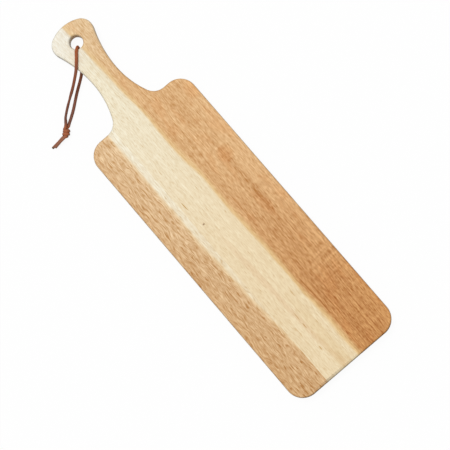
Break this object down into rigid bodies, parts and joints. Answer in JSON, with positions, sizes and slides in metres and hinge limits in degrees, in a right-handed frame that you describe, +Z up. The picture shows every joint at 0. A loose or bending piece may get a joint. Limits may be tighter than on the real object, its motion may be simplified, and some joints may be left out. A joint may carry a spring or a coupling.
{
  "type": "paddle charcuterie board",
  "caption": "Long wooden paddle board of edge-glued staves, with a waisted handle, a hang hole and a knotted leather loop, for serving and for hanging up.",
  "frame": {"origin": "middle of the board's bounding box without its cord: half way along it, across it and through its thickness", "axes": "+Y along the board to the handle's tip, +X across it to the wide stave's side, +Z up out of the serving face"},
  "size_m": [0.1336, 0.3976, 0.016],
  "materials": {
    "wide_stave": "oiled, satin",
    "narrow_stave": "oiled, satin",
    "leather": "waxed"
  },
  "bodies": {
    "board": {"wide_stave": "wide_stave", "narrow_stave": "narrow_stave"},
    "loop": {"cord_loop": "leather", "cord_knot": "leather", "cord_tail_inner": "leather", "cord_tail_outer": "leather"}
  },
  "joints": [
    {"name": "loop_swing", "type": "hinge", "parent": "board", "child": "loop", "pos_m": [0.0015, 0.17925, 0], "axis": [0, 0, 1], "range_deg": [-275, 15]}
  ]
}
